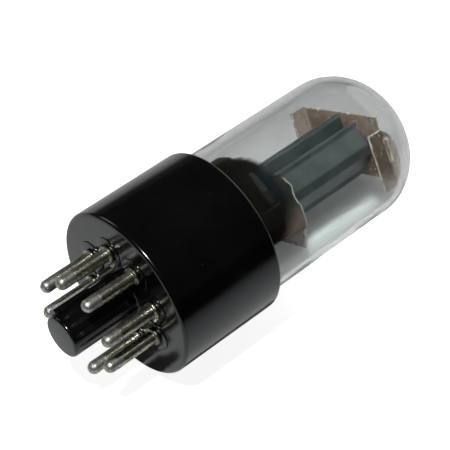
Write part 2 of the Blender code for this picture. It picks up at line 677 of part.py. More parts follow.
def make_diode(cage, which, side, carbon, nickel, tungsten):
    """One diode: a folded anode round a cathode sleeve, with a hairpin heater inside it."""
    make_anode(cage, which, side, carbon)
    outside = CATHODE_DIAMETER / 2
    inside = outside - CATHODE_WALL
    low = BOTTOM_MICA_Z - CATHODE_PROUD
    high = TOP_MICA_Z + MICA_THICKNESS + CATHODE_PROUD
    sleeve = [(inside, low), (outside, low), (outside, high), (inside, high)]
    name = f"cathode_{which}"
    cathode = add_object(name, turned_mesh(name, sleeve, HOLE_SIDES, looped=True), cage, nickel)
    cathode.location.y = side * CATHODE_OFFSET
    leg = HEATER_LEG_OFFSET
    foot = low - HEATER_PROUD
    bend = high - CATHODE_PROUD
    place = side * CATHODE_OFFSET
    points = [(leg, place, foot), (leg, place, bend), (0, place, bend + leg)]
    points += [(-leg, place, bend), (-leg, place, low)]
    wire(f"heater_{which}", points, HEATER_DIAMETER, cage, tungsten)


def make_support_rods(cage, finish):
    """Two rods behind the shield, through both micas."""
    low = BOTTOM_MICA_Z - ROD_PROUD
    high = TOP_MICA_Z + MICA_THICKNESS + ROD_PROUD
    radius = ROD_DIAMETER / 2
    for name, side in (("support_rod_left", -1), ("support_rod_right", 1)):
        rod = add_object(name, turned_mesh(name, [(radius, low), (radius, high)], HOLE_SIDES), cage, finish)
        rod.location = (side * ROD_OFFSET, rod_depth(), 0)


def make_getter(cage, finish):
    """A shallow getter pan that faces the glass, on a wire from the top of the press."""
    outside = GETTER_DIAMETER / 2
    rim = outside - GETTER_DEPTH / 3
    profile = [(0, 0), (outside, 0), (outside, GETTER_DEPTH), (rim, GETTER_DEPTH), (rim, GETTER_DEPTH / 3)]
    mesh = turned_mesh("getter_pan", profile + [(0, GETTER_DEPTH / 3)], PIN_SIDES)
    mesh.transform(Matrix.Rotation(math.pi / 2, 4, "X"))
    pan = add_object("getter_pan", mesh, cage, finish)
    pan.location = (0, -GETTER_FACE + GETTER_DEPTH, GETTER_Z)
    drop = 2 * LEAD_DIAMETER
    press_side = STEM_PRESS_Z - drop
    widening = (STEM_TAPER_HALF_DEPTH - STEM_PRESS_HALF_DEPTH) / (STEM_PRESS_Z - STEM_TAPER_Z)
    start = -STEM_PRESS_HALF_DEPTH - widening * drop - FIT_GAP - LEAD_RADIUS
    back = -GETTER_FACE + GETTER_DEPTH + FIT_GAP
    points = [(0, start, press_side), (0, (start + back) / 2, (press_side + GETTER_Z) / 2)]
    points += [(0, back, GETTER_Z)]
    wire("getter_wire", points, LEAD_DIAMETER, cage, finish)


def main():
    for old in list(bpy.data.objects):
        bpy.data.objects.remove(old, do_unlink=True)
    black = material("black_phenolic", (0.012, 0.012, 0.013), 0.22)
    cement = material("base_cement", (0.35, 0.27, 0.2), 0.9)
    glass = material("clear_glass", (0.92, 0.95, 0.94), 0.03, 0.0, 1.0)
    nickel = material("pin_nickel", (0.62, 0.6, 0.52), 0.3, 1.0)
    solder = material("solder", (0.42, 0.42, 0.4), 0.5, 1.0)
    copper = material("lead_copper", (0.7, 0.42, 0.3), 0.4, 1.0)
    bright = material("bright_nickel", (0.6, 0.6, 0.58), 0.35, 1.0)
    carbon = material("carbonised_nickel", (0.13, 0.14, 0.16), 0.5, 0.7)
    mica = material("smoked_mica", (0.42, 0.3, 0.24), 0.35)
    tungsten = material("coated_tungsten", (0.8, 0.79, 0.75), 0.8)

    tube = empty("tube")
    tube.rotation_euler = (0, math.pi / 2, 0)
    tube.location = (-MID_LENGTH, 0, REST_LIFT)
    cage = empty("cage", tube)
    cage.rotation_euler = (0, 0, CAGE_TURN)

    make_base(tube, black)
    make_cement(tube, cement)
    make_bulb(tube, glass)
    make_stem(cage, glass)
    make_exhaust_tube(tube, glass)
    make_pins(tube, nickel, solder, copper)
    make_inner_leads(cage, bright)
    make_micas(cage, mica)
    make_shield(cage, carbon)
    make_support_rods(cage, bright)
    make_diode(cage, "front", -1, carbon, bright, tungsten)
    make_diode(cage, "back", 1, carbon, bright, tungsten)
    make_getter(cage, bright)


main()
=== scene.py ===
"""The looks of an octal-base glass tube that lies on its side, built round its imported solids.

Pieces are made standing on the base's lower face, with Z along the tube's axis, as in the part's own
source. The matrix TUBE then lays them down along +X, and CAGE also turns the electrodes about the axis.
Sizes are in metres.
"""

import json
import math

import bmesh
import bpy
from mathutils import Matrix, Vector, noise

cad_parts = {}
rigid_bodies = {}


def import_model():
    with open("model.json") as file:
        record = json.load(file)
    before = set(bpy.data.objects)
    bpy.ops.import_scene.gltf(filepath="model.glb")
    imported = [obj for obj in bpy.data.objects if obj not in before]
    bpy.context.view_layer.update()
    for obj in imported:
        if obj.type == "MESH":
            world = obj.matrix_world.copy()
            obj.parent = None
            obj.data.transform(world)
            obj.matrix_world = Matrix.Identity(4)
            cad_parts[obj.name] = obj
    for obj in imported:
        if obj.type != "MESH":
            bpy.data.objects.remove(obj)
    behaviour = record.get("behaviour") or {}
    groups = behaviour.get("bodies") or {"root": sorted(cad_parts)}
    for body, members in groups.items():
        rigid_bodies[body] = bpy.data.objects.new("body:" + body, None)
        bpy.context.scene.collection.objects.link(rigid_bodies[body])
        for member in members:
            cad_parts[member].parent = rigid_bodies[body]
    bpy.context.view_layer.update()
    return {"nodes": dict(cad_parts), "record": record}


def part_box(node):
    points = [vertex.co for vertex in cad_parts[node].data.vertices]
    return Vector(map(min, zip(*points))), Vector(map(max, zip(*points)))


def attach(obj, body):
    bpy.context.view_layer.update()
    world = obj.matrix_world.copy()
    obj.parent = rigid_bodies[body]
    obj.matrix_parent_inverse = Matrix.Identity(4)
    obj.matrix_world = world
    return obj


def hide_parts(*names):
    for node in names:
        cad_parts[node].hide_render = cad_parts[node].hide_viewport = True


MM = 0.001

# Camera, as fitted to the photograph's outlines
CAMERA_PLACE = (-130.968 * MM, -139.608 * MM, 217.898 * MM)
CAMERA_FORWARD = Vector((0.46715, 0.50376, -0.72663))
CAMERA_LENS = 124.97
CAMERA_SENSOR = 36.0

# Sizes repeated from the part's source
FIT_GAP = 0.2 * MM
BULB_SIDES = 48
BULB_WALL = 1.0 * MM
BULB_SHOULDER_Z = 52.45 * MM
BULB_SHOULDER_RADIUS = 10.66 * MM
BULB_CROWN_RADIUS = 19.8 * MM
BULB_FOOT_Z = 9.4 * MM
BULB_TUCK_HEIGHT = 4.6 * MM
BULB_TUCK_DEPTH = 1.3 * MM
BASE_BORE_GAP = 0.3 * MM
BASE_HEIGHT = 22.1 * MM
BASE_FLOOR = 2.2 * MM
BASE_FOOT_ROUND = 0.7 * MM
BASE_RIM_ROUND = 0.6 * MM
PAD_HEIGHT = 0.15 * MM
POST_RADIUS = 3.95 * MM
POST_LENGTH = 13.7 * MM
POST_BORE = 2.7 * MM
POST_END_WALL = 1.6 * MM
POST_END_ROUND = 0.5 * MM
KEY_WIDTH = 2.0 * MM
KEY_RISE = 0.85 * MM
KEY_END_GAP = 0.9 * MM
KEY_ANGLE = math.radians(135.0)
PIN_POSITIONS = 8
PIN_NUMBERS = (1, 2, 3, 4, 5, 7, 8)
PIN_CIRCLE_RADIUS = 8.725 * MM
PIN_RADIUS = 1.18 * MM
PIN_BORE = 0.82 * MM
PIN_LENGTH = 11.1 * MM
PIN_COLLAR_RADIUS = 1.65 * MM
PIN_COLLAR_HEIGHT = 0.5 * MM
PIN_RIVET_HEIGHT = 0.5 * MM
SOLDER_LENGTH = 3.4 * MM
SOLDER_PLUG_LENGTH = 2.2 * MM
STEM_WALL = 1.0 * MM
STEM_NECK_RADIUS = 4.6 * MM
STEM_NECK_Z = 18.0 * MM
STEM_PRESS_Z = 27.0 * MM
STEM_PRESS_HALF_WIDTH = 6.2 * MM
STEM_PRESS_HALF_DEPTH = 1.9 * MM
LEAD_RADIUS = 0.3 * MM
LEAD_SPACING = 1.7 * MM
CAGE_TURN = math.radians(-27.5)
MICA_THICKNESS = 0.4 * MM
TOP_MICA_Z = 55.0 * MM
BOTTOM_MICA_Z = 31.0 * MM
PLATE_MICA_GAP = 0.3 * MM
ANODE_WIDTH = 10.0 * MM
ANODE_DEPTH = 5.2 * MM
ANODE_FLAT = 1.7 * MM
ANODE_FIN = 1.1 * MM
ANODE_LAYER = 0.25 * MM
ANODE_THICKNESS = 0.3 * MM
ANODE_TAB_WIDTH = 0.8 * MM
ANODE_TAB_OFFSET = 4.45 * MM
ANODE_TAB_DEPTH = 3.55 * MM
ANODE_TAB_PROUD = 1.0 * MM
SHIELD_HALF_WIDTH = 5.9 * MM
SHIELD_THICKNESS = 0.4 * MM
CATHODE_RADIUS = 0.9 * MM
CATHODE_WALL = 0.2 * MM
CATHODE_OFFSET = 3.3 * MM
CATHODE_PROUD = 1.4 * MM
HEATER_RADIUS = 0.175 * MM
HEATER_LEG_OFFSET = 0.32 * MM
HEATER_PROUD = 0.8 * MM
ROD_RADIUS = 0.5 * MM
ROD_OFFSET = 5.0 * MM
ROD_PROUD = 1.2 * MM
GETTER_RADIUS = 2.0 * MM
GETTER_DEPTH = 1.0 * MM
GETTER_FACE = 9.205 * MM
GETTER_Z = 28.6 * MM

# Moulded ring round each pin place, as wide as the photograph shows it
PAD_RADIUS = 3.05 * MM

# How far the bulb's inner face wanders from a true round
BULB_WANDER = 0.06 * MM

# Getter film on the near wall, along lines of (degrees from the near side, height in millimetres):
# its upper edge, and where it starts to turn from black to brown
FILM_TOP = ((-54, 25.0), (-52, 25.9), (-49, 26.4), (-45, 27.0), (-38, 29.0), (-32, 29.8), (-26, 30.2))
FILM_TOP += ((-20, 30.3), (-14, 30.5), (-8, 31.0), (-3, 31.4), (3, 31.8), (10, 31.2), (15, 31.2))
FILM_TOP += ((20, 31.6), (34, 31.4), (38.5, 31.2), (40.5, 30.1), (43, 30.4), (47, 30.6), (50, 30.1))
FILM_TOP += ((52, 28.8),)
FILM_CORE = ((-54, 28.0), (10, 27.9), (16, 27.2), (22, 26.5), (28, 25.8), (34, 24.6), (38, 22.0))
FILM_CORE += ((52, 20.0),)

# The height in millimetres over which it turns brown, the ripple of its upper edge in millimetres and
# degrees, the true share of an angle seen through the glass, and the place of a scratch in degrees
FILM_BROWNING = 4.9
FILM_RIPPLE = 0.12
FILM_RIPPLE_ANGLE = 3.1
FILM_ANGLE_SEEN = 0.955
FILM_SCRATCH_ANGLE = 9.3
FILM_LAYERS = ("cover", "brown", "tan", "blue", "painted_sheen", "line")
FILM_LOW_Z = 18.0 * MM
FILM_THICKNESS = 0.04 * MM
FILM_GLASS_GAP = 0.03 * MM
FILM_COLUMNS = 220
FILM_ROWS = 48

# Across the tube, towards the camera and to its right
NEAR_SIDE = Vector((0, -0.5526, 0.8335))
RIGHT_SIDE = Vector((0, -0.8335, -0.5526))

# Stage: the floor's colour, its glow to metal and glass and to the camera, and the places along Y
# between which the colour fades in. Nearer the camera the colour is painted black, a painted shade
# standing for the near floor lying out of the lamps' light
STAGE_COLOUR = (0.62, 0.62, 0.62)
STAGE_GLOW_INSIDE = 0.02
STAGE_GLOW_SEEN = 0.9
STAGE_PAINTED_SHADE_Y = -110 * MM
STAGE_PAINTED_LIT_Y = -30 * MM
ROOM_COLOUR = (0.02, 0.02, 0.021, 1.0)

# Lamps: name, direction from the tube, distance and width in metres, power in watts
LAMPS = (
    ("key_lamp", (-0.38, -0.16, 1.0), 0.8, 0.035, 6.0),
    ("back_lamp", (-0.15, 0.9, 0.6), 1.0, 0.5, 0.75),
    ("end_lamp", (1.0, 0.1, 0.3), 1.0, 1.1, 1.8),
)

# Facets, and the distance at which doubled points are joined
FINE_SIDES = 144
STEM_SIDES = 72
SMALL_SIDES = 48
PIN_SIDES = 32
WIRE_RESOLUTION = 4
WELD = 0.001 * MM

for stale in list(bpy.data.objects):
    bpy.data.objects.remove(stale, do_unlink=True)

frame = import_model()
NODES = frame["nodes"]

SEAT_X = frame["record"]["mounts"][0]["pos_m"][0]
BULB_LOW, BULB_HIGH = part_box("glass_bulb")
BASE_LOW, BASE_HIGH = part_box("base")
FLAT_TO_ROUND = 1 / math.cos(math.pi / BULB_SIDES)
AXIS_Z = (BULB_LOW.z + BULB_HIGH.z) / 2
BULB_RADIUS = (BULB_HIGH.z - BULB_LOW.z) / 2 * FLAT_TO_ROUND
BASE_RADIUS = (BASE_HIGH.z - BASE_LOW.z) / 2
BASE_BORE = BULB_RADIUS + BASE_BORE_GAP
TUBE = Matrix.Translation((SEAT_X, 0, AXIS_Z)) @ Matrix.Rotation(math.pi / 2, 4, "Y")
CAGE = TUBE @ Matrix.Rotation(CAGE_TURN, 4, "Z")

CROWN_CENTRE_RADIUS = BULB_RADIUS - BULB_SHOULDER_RADIUS
CROWN_SWING = math.asin(CROWN_CENTRE_RADIUS / (BULB_CROWN_RADIUS - BULB_SHOULDER_RADIUS))
CROWN_CENTRE_Z = BULB_SHOULDER_Z - CROWN_CENTRE_RADIUS / math.tan(CROWN_SWING)
PIN_END_Z = SOLDER_LENGTH - PIN_LENGTH
PLATE_BOTTOM_Z = BOTTOM_MICA_Z + MICA_THICKNESS + PLATE_MICA_GAP
PLATE_TOP_Z = TOP_MICA_Z - PLATE_MICA_GAP
ROD_DEPTH = SHIELD_THICKNESS / 2 + FIT_GAP + ROD_RADIUS


def add(tree, kind, inputs=None, **settings):
    """A new node with its settings, and each input linked to a socket or set to a value."""
    node = tree.nodes.new(kind)
    for key, value in settings.items():
        setattr(node, key, value)
    for key, value in (inputs or {}).items():
        if isinstance(value, bpy.types.NodeSocket):
            tree.links.new(value, node.inputs[key])
        else:
            node.inputs[key].default_value = value
    return node


def new_material(name):
    """An empty material, its node tree and its Principled shader joined to the output."""
    made = bpy.data.materials.new(name)
    made.use_nodes = True
    tree = made.node_tree
    return made, tree, tree.nodes["Principled BSDF"]


def feed(tree, shader, **values):
    """Sets the shader's sockets, named with underscores, from sockets or plain values."""
    for key, value in values.items():
        socket = shader.inputs[key.replace("_", " ")]
        if isinstance(value, bpy.types.NodeSocket):
            tree.links.new(value, socket)
        elif isinstance(value, tuple):
            socket.default_value = (*value, 1.0)
        else:
            socket.default_value = value


def place(tree, stretch=(1, 1, 1)):
    """Object coordinates in metres, stretched along each axis."""
    coordinates = add(tree, "ShaderNodeTexCoord").outputs["Object"]
    return add(tree, "ShaderNodeMapping", {"Vector": coordinates, "Scale": stretch}).outputs["Vector"]


def grain(tree, size, detail=4.0, stretch=(1, 1, 1), roughness=0.55):
    """Noise whose features have about this size."""
    inputs = {"Vector": place(tree, stretch), "Scale": 1 / size, "Detail": detail, "Roughness": roughness}
    return add(tree, "ShaderNodeTexNoise", inputs).outputs["Fac"]


def spread(tree, value, low, high, to_low=0.0, to_high=1.0):
    """A value taken from one range to another, held at its ends."""
    inputs = {"Value": value, "From Min": low, "From Max": high, "To Min": to_low, "To Max": to_high}
    return add(tree, "ShaderNodeMapRange", inputs).outputs["Result"]


def mixed(tree, share, first, second):
    """One colour turning to another by a share from 0 to 1."""
    node = add(tree, "ShaderNodeMix", data_type="RGBA")
    tree.links.new(share, node.inputs[0])
    for index, colour in ((6, first), (7, second)):
        if isinstance(colour, bpy.types.NodeSocket):
            tree.links.new(colour, node.inputs[index])
        else:
            node.inputs[index].default_value = (*colour, 1.0)
    return node.outputs[2]


def arithmetic(tree, operation, first, second):
    """One sum on two values."""
    node = add(tree, "ShaderNodeMath", operation=operation)
    for index, value in ((0, first), (1, second)):
        if isinstance(value, bpy.types.NodeSocket):
            tree.links.new(value, node.inputs[index])
        else:
            node.inputs[index].default_value = value
    return node.outputs[0]


def bumped(tree, height, distance):
    """A normal from a height, whose full range stands for this distance."""
    inputs = {"Height": height, "Distance": distance, "Strength": 1.0}
    return add(tree, "ShaderNodeBump", inputs).outputs["Normal"]


def attribute(tree, name):
    """A value kept on the mesh's points."""
    return add(tree, "ShaderNodeAttribute", attribute_name=name).outputs["Fac"]


def phenolic_material():
    """Glossy black moulding with rubbed patches, hairline scratches and a few specks of dust."""
    made, tree, shader = new_material("black_phenolic")
    rubbed = spread(tree, grain(tree, 9 * MM, 5), 0.35, 0.75)
    scratch = grain(tree, 0.5 * MM, 2, (0.08, 1, 1))
    scratch = spread(tree, scratch, 0.72, 0.76)
    dust = spread(tree, grain(tree, 0.45 * MM, 1), 0.8, 0.825)
    colour = mixed(tree, rubbed, (0.0012, 0.0012, 0.0013), (0.003, 0.003, 0.0032))
    colour = mixed(tree, arithmetic(tree, "MULTIPLY", scratch, 0.1), colour, (0.1, 0.1, 0.1))
    colour = mixed(tree, dust, colour, (0.07, 0.07, 0.066))
    gloss = spread(tree, rubbed, 0, 1, 0.13, 0.2)
    gloss = arithmetic(tree, "ADD", gloss, arithmetic(tree, "MULTIPLY", dust, 0.4))
    feed(tree, shader, Base_Color=colour, Roughness=gloss, IOR=1.6, Specular_Tint=(0.9, 0.96, 1.0))
    feed(tree, shader, Normal=bumped(tree, grain(tree, 2.2 * MM, 2), 0.006 * MM))
    return made


def glass_material(name, tint):
    """Smoke-grey glass with faint smears. Lamps shine through it."""
    made, tree, shader = new_material(name)
    smear = spread(tree, grain(tree, 7 * MM, 5, (0.5, 1, 1)), 0.45, 0.8)
    darker = tuple(0.94 * part for part in tint)
    feed(tree, shader, Base_Color=mixed(tree, smear, tint, darker))
    feed(tree, shader, Roughness=spread(tree, smear, 0, 1, 0.0, 0.015), IOR=1.5, Transmission_Weight=1.0)
    feed(tree, shader, Normal=bumped(tree, grain(tree, 6 * MM, 1, (0.4, 1, 1)), 0.005 * MM))
    clear = add(tree, "ShaderNodeBsdfTransparent", {"Color": (*tint, 1.0)})
    lit = add(tree, "ShaderNodeLightPath").outputs["Is Shadow Ray"]
    choice = add(tree, "ShaderNodeMixShader", {0: lit, 1: shader.outputs[0], 2: clear.outputs[0]})
    tree.links.new(choice.outputs[0], tree.nodes["Material Output"].inputs["Surface"])
    return made


def pin_material():
    """Plated brass pins with drawn lines along them, dark tarnish and worn bright spots."""
    made, tree, shader = new_material("tarnished_pins")
    drawn = grain(tree, 0.25 * MM, 3, (0.06, 1, 1))
    patch = spread(tree, grain(tree, 1.6 * MM, 6, (0.6, 1, 1)), 0.4, 0.62)
    crust = grain(tree, 0.42 * MM, 5, (0.8, 1, 1), 0.7)
    spots = spread(tree, crust, 0.46, 0.6)
    tarnish = arithmetic(tree, "MAXIMUM", arithmetic(tree, "MULTIPLY", patch, 0.75), spots)
    colour = mixed(tree, tarnish, (0.64, 0.615, 0.49), (0.096, 0.093, 0.07))
    shade = spread(tree, drawn, 0.3, 0.7, 0.0, 0.4)
    colour = mixed(tree, shade, colour, (0.19, 0.183, 0.14))
    gloss = spread(tree, tarnish, 0, 1, 0.2, 0.42)
    feed(tree, shader, Base_Color=colour, Roughness=gloss, Metallic=1.0)
    feed(tree, shader, Normal=bumped(tree, arithmetic(tree, "ADD", drawn, crust), 0.035 * MM))
    return made


def solder_material():
    """Dull grey solder with a frosted, pitted skin."""
    made, tree, shader = new_material("dull_solder")
    frost = spread(tree, grain(tree, 0.5 * MM, 5, roughness=0.7), 0.4, 0.62)
    colour = mixed(tree, frost, (0.6, 0.61, 0.57), (0.22, 0.23, 0.2))
    gloss = spread(tree, frost, 0, 1, 0.36, 0.55)
    feed(tree, shader, Base_Color=colour, Roughness=gloss, Metallic=1.0)
    feed(tree, shader, Normal=bumped(tree, grain(tree, 0.35 * MM, 4), 0.06 * MM))
    return made


def mica_material(name, tint, browned, clear, stain):
    """Split mica, browned in patches or from its foot, with flaky layers and pale frayed edges, whose
    paleness is partly a painted highlight of light scattered at the edge.
    """
    made, tree, shader = new_material(name)
    cloud = spread(tree, grain(tree, 3.5 * MM, 6), 0.35, 0.68)
    cloud = arithmetic(tree, "MULTIPLY", cloud, 1 - 0.8 * stain)
    along = add(tree, "ShaderNodeSeparateXYZ", {0: place(tree)}).outputs["X"]
    foot_x = SEAT_X + TOP_MICA_Z
    foot = spread(tree, along, foot_x + 0.5 * MM, foot_x + 3 * MM, 0.8 * stain, 0.0)
    cloud = arithmetic(tree, "MAXIMUM", cloud, foot)
    flake = spread(tree, grain(tree, 1.1 * MM, 4, (1, 0.5, 0.5)), 0.4, 0.65)
    torn = spread(tree, grain(tree, 0.6 * MM), 0.3, 0.6, 0.25, 0.75)
    # Pale edges: real fraying, and partly a painted highlight of the light scattered at a mica's edge
    frayed_edge_and_highlight = arithmetic(tree, "MULTIPLY", spread(tree, attribute(tree, "edge"), 0.35, 0.85), torn)
    colour = mixed(tree, cloud, tint, browned)
    colour = mixed(tree, frayed_edge_and_highlight, colour, (0.82, 0.79, 0.73))
    feed(tree, shader, Base_Color=colour, IOR=1.58, Roughness=spread(tree, flake, 0, 1, 0.14, 0.3))
    feed(tree, shader, Transmission_Weight=spread(tree, frayed_edge_and_highlight, 0, 1, clear, 0.15))
    feed(tree, shader, Normal=bumped(tree, flake, 0.02 * MM))
    return made


def carbon_material():
    """Carbonised nickel sheet: dark blue-grey, with a satin gloss and rolling lines."""
    made, tree, shader = new_material("carbonised_sheet")
    cloud = spread(tree, grain(tree, 4 * MM, 5), 0.3, 0.7)
    rolled = grain(tree, 0.3 * MM, 3, (0.05, 1, 1))
    colour = mixed(tree, cloud, (0.107, 0.128, 0.132), (0.168, 0.197, 0.202))
    gloss = spread(tree, rolled, 0.3, 0.7, 0.28, 0.42)
    feed(tree, shader, Base_Color=colour, Roughness=gloss, Metallic=0.75)
    feed(tree, shader, Normal=bumped(tree, rolled, 0.006 * MM))
    return made


def nickel_material():
    """Drawn nickel, bright with a faint straw bloom."""
    made, tree, shader = new_material("drawn_nickel")
    bloom = spread(tree, grain(tree, 1.5 * MM, 4), 0.35, 0.7)
    drawn = grain(tree, 0.2 * MM, 2, (0.08, 1, 1))
    colour = mixed(tree, bloom, (0.6, 0.6, 0.58), (0.42, 0.39, 0.33))
    gloss = spread(tree, drawn, 0.3, 0.7, 0.2, 0.36)
    feed(tree, shader, Base_Color=colour, Metallic=1.0, Roughness=gloss)
    feed(tree, shader, Normal=bumped(tree, drawn, 0.008 * MM))
    return made


def copper_material():
    """Tinned copper wire with the copper showing in places."""
    made, tree, shader = new_material("tinned_copper")
    worn = spread(tree, grain(tree, 0.9 * MM, 4), 0.45, 0.6)
    colour = mixed(tree, worn, (0.55, 0.5, 0.45), (0.62, 0.3, 0.18))
    feed(tree, shader, Base_Color=colour, Metallic=1.0, Roughness=spread(tree, worn, 0, 1, 0.35, 0.5))
    feed(tree, shader, Normal=bumped(tree, grain(tree, 0.3 * MM), 0.01 * MM))
    return made


def cement_material():
    """Baked cement with a sandy grain."""
    made, tree, shader = new_material("basing_cement")
    sand = grain(tree, 0.4 * MM, 6)
    colour = mixed(tree, spread(tree, sand, 0.3, 0.7), (0.4, 0.31, 0.22), (0.2, 0.14, 0.1))
    feed(tree, shader, Base_Color=colour, Roughness=spread(tree, sand, 0.3, 0.7, 0.75, 0.95))
    feed(tree, shader, Normal=bumped(tree, sand, 0.06 * MM))
    return made


def heater_material():
    """Tungsten wire under a chalky white coat."""
    made, tree, shader = new_material("coated_heater")
    chalk = grain(tree, 0.12 * MM, 5)
    colour = mixed(tree, spread(tree, chalk, 0.35, 0.65), (0.82, 0.81, 0.78), (0.6, 0.57, 0.52))
    feed(tree, shader, Base_Color=colour, Roughness=spread(tree, chalk, 0.3, 0.7, 0.8, 0.95))
    feed(tree, shader, Normal=bumped(tree, chalk, 0.02 * MM))
    return made


def film_material():
    """The getter's dark mirror: olive and blue-black, brown where it thins out, pale along its edge."""
    made, tree, shader = new_material("getter_mirror")
    smoke = grain(tree, 2.5 * MM, 5)
    colour = mixed(tree, attribute(tree, "blue"), (0.0032, 0.003, 0.0018), (0.0022, 0.0045, 0.007))
    # A lighter band in the black, a painted sheen
    colour = mixed(tree, attribute(tree, "painted_sheen"), colour, (0.015, 0.017, 0.0135))
    browned = mixed(tree, spread(tree, smoke, 0.35, 0.65), (0.13, 0.105, 0.086), (0.1, 0.074, 0.06))
    browned = mixed(tree, attribute(tree, "tan"), (0.032, 0.032, 0.026), browned)
    colour = mixed(tree, attribute(tree, "brown"), colour, browned)
    colour = mixed(tree, attribute(tree, "line"), colour, (0.5, 0.48, 0.42))
    uneven = spread(tree, smoke, 0.3, 0.7, 0.94, 1.06)
    cover = arithmetic(tree, "MULTIPLY", attribute(tree, "cover"), uneven)
    feed(tree, shader, Base_Color=colour, Roughness=spread(tree, smoke, 0.3, 0.7, 0.1, 0.2))
    feed(tree, shader, Specular_IOR_Level=0.25)
    feed(tree, shader, Alpha=spread(tree, cover, 0, 1))
    feed(tree, shader, Normal=bumped(tree, smoke, 0.01 * MM))
    return made


def add_piece(name, mesh, finish, nodes=(), sharp=35):
    """A piece of the visual model, riding on the tube in place of the CAD nodes it stands for."""
    made = bpy.data.objects.new(name, mesh)
    bpy.context.scene.collection.objects.link(made)
    mesh.materials.append(finish)
    mesh.shade_smooth()
    mesh.set_sharp_from_angle(angle=math.radians(sharp))
    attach(made, "root")
    if nodes:
        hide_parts(*nodes)
    return made


def mesh_of(name, bm, matrix):
    """A finished mesh, with its faces turned outwards, in its place."""
    bmesh.ops.recalc_face_normals(bm, faces=bm.faces[:])
    mesh = bpy.data.meshes.new(name)
    bm.to_mesh(mesh)
    bm.free()
    mesh.transform(matrix)
    return mesh


def ring_of(bm, half_x, half_y, height, sides):
    """One ring of points, or a single point on the axis where the ring has no size."""
    if half_x == 0:
        return [bm.verts.new((0, 0, height))]
    turns = [2 * math.pi * (side + 0.5) / sides for side in range(sides)]
    return [bm.verts.new((half_x * math.cos(turn), half_y * math.sin(turn), height)) for turn in turns]


def bridge(bm, lower, upper):
    """Faces between two rings, either of which may be a single point."""
    sides = max(len(lower), len(upper))
    for side in range(sides):
        after = (side + 1) % sides
        corners = [lower[side % len(lower)], lower[after % len(lower)]]
        corners += [upper[after % len(upper)], upper[side % len(upper)]]
        bm.faces.new(list(dict.fromkeys(corners)))


def skin(bm, rings, sides, looped=False):
    """A skin over rings of (half width, half depth, height); a looped one joins its ends."""
    made = [ring_of(bm, *ring, sides) for ring in rings]
    for lower, upper in zip(made, made[1:]):
        bridge(bm, lower, upper)
    if looped:
        bridge(bm, made[-1], made[0])
        return
    for end in (made[0], made[-1]):
        if len(end) > 1:
            bm.faces.new(end)


def turned(profile, sides, looped=False):
    """A turned solid from a profile of (radius, height)."""
    bm = bmesh.new()
    skin(bm, [(radius, radius, height) for radius, height in profile], sides, looped)
    return bm


def arc(centre, radius, start, end, steps):
    """Points along an arc, as (first, second) coordinates."""
    points = []
    for step in range(steps + 1):
        angle = start + (end - start) * step / steps
        points.append((centre[0] + radius * math.cos(angle), centre[1] + radius * math.sin(angle)))
    return points


def stretch_of(start, end, steps):
    """Points along a straight stretch, without its ends."""
    shares = [step / steps for step in range(1, steps)]
    return [tuple(a + (b - a) * share for a, b in zip(start, end)) for share in shares]


def rounded_path(points, reach, steps=6):
    """A path whose bends are eased into curves that start this far from each corner."""
    points = [Vector(point) for point in points]
    eased = [points[0]]
    for before, corner, after in zip(points, points[1:], points[2:]):
        first = corner + (before - corner).normalized() * min(reach, (before - corner).length * 0.45)
        last = corner + (after - corner).normalized() * min(reach, (after - corner).length * 0.45)
        for step in range(steps + 1):
            share = step / steps
            eased.append(first.lerp(corner, share).lerp(corner.lerp(last, share), share))
    return eased + [points[-1]]


def wire_mesh(name, points, radius, matrix, reach=0.8 * MM):
    """A round wire along a path with eased bends."""
    path = rounded_path(points, reach)
    curve = bpy.data.curves.new(name, "CURVE")
    curve.dimensions = "3D"
    spline = curve.splines.new("POLY")
    spline.points.add(len(path) - 1)
    for point, spot in zip(spline.points, path):
        point.co = (*spot, 1.0)
    curve.bevel_depth = radius
    curve.bevel_resolution = WIRE_RESOLUTION
    curve.use_fill_caps = True
    holder = bpy.data.objects.new(name, curve)
    mesh = bpy.data.meshes.new_from_object(holder)
    bpy.data.objects.remove(holder)
    bpy.data.curves.remove(curve)
    bm = bmesh.new()
    bm.from_mesh(mesh)
    bpy.data.meshes.remove(mesh)
    bmesh.ops.remove_doubles(bm, verts=bm.verts[:], dist=WELD)
    return mesh_of(name, bm, matrix)


def pin_place(number):
    """A matrix that moves a pin out to its place on the pin circle."""
    angle = KEY_ANGLE + 2 * math.pi / PIN_POSITIONS * (number - 0.5)
    return Matrix.Translation(PIN_CIRCLE_RADIUS * Vector((math.cos(angle), math.sin(angle), 0)))


def wall_profile(inset):
    """The bulb from its tucked foot up to the top of its dome, inset into the glass."""
    tuck_steps, wall_steps, shoulder_steps, crown_steps = 12, 24, 28, 14
    points = []
    for step in range(tuck_steps + 1):
        swing = math.pi / 2 * (1 - step / tuck_steps)
        radius = BULB_RADIUS - BULB_TUCK_DEPTH * (1 - math.cos(swing)) - inset
        points.append((radius, BULB_FOOT_Z + BULB_TUCK_HEIGHT * (1 - math.sin(swing))))
    points += stretch_of(points[-1], (BULB_RADIUS - inset, BULB_SHOULDER_Z), wall_steps)
    rise = math.pi / 2 - CROWN_SWING
    centre = (CROWN_CENTRE_RADIUS, BULB_SHOULDER_Z)
    points += arc(centre, BULB_SHOULDER_RADIUS - inset, 0, rise, shoulder_steps)
    crown = BULB_CROWN_RADIUS - inset
    points += arc((0, CROWN_CENTRE_Z), crown, rise, math.pi / 2, crown_steps)[1:-1]
    return points + [(0, CROWN_CENTRE_Z + crown)]


def make_bulb(finish):
    """The blown bulb. Its inner face wanders a little, so that what is inside looks bent by it."""
    bm = turned(wall_profile(BULB_WALL)[::-1] + wall_profile(0), FINE_SIDES)
    swell_size = 9 * MM
    for vert in bm.verts:
        out = math.hypot(vert.co.x, vert.co.y)
        inner = BULB_RADIUS - 1.5 * BULB_WALL < out < BULB_RADIUS - BULB_WALL / 2
        if inner and vert.co.z > BASE_HEIGHT:
            vert.co.xy *= 1 + BULB_WANDER * noise.noise(vert.co / swell_size) / out
    add_piece("bulb", mesh_of("bulb", bm, TUBE), finish, ["glass_bulb"])


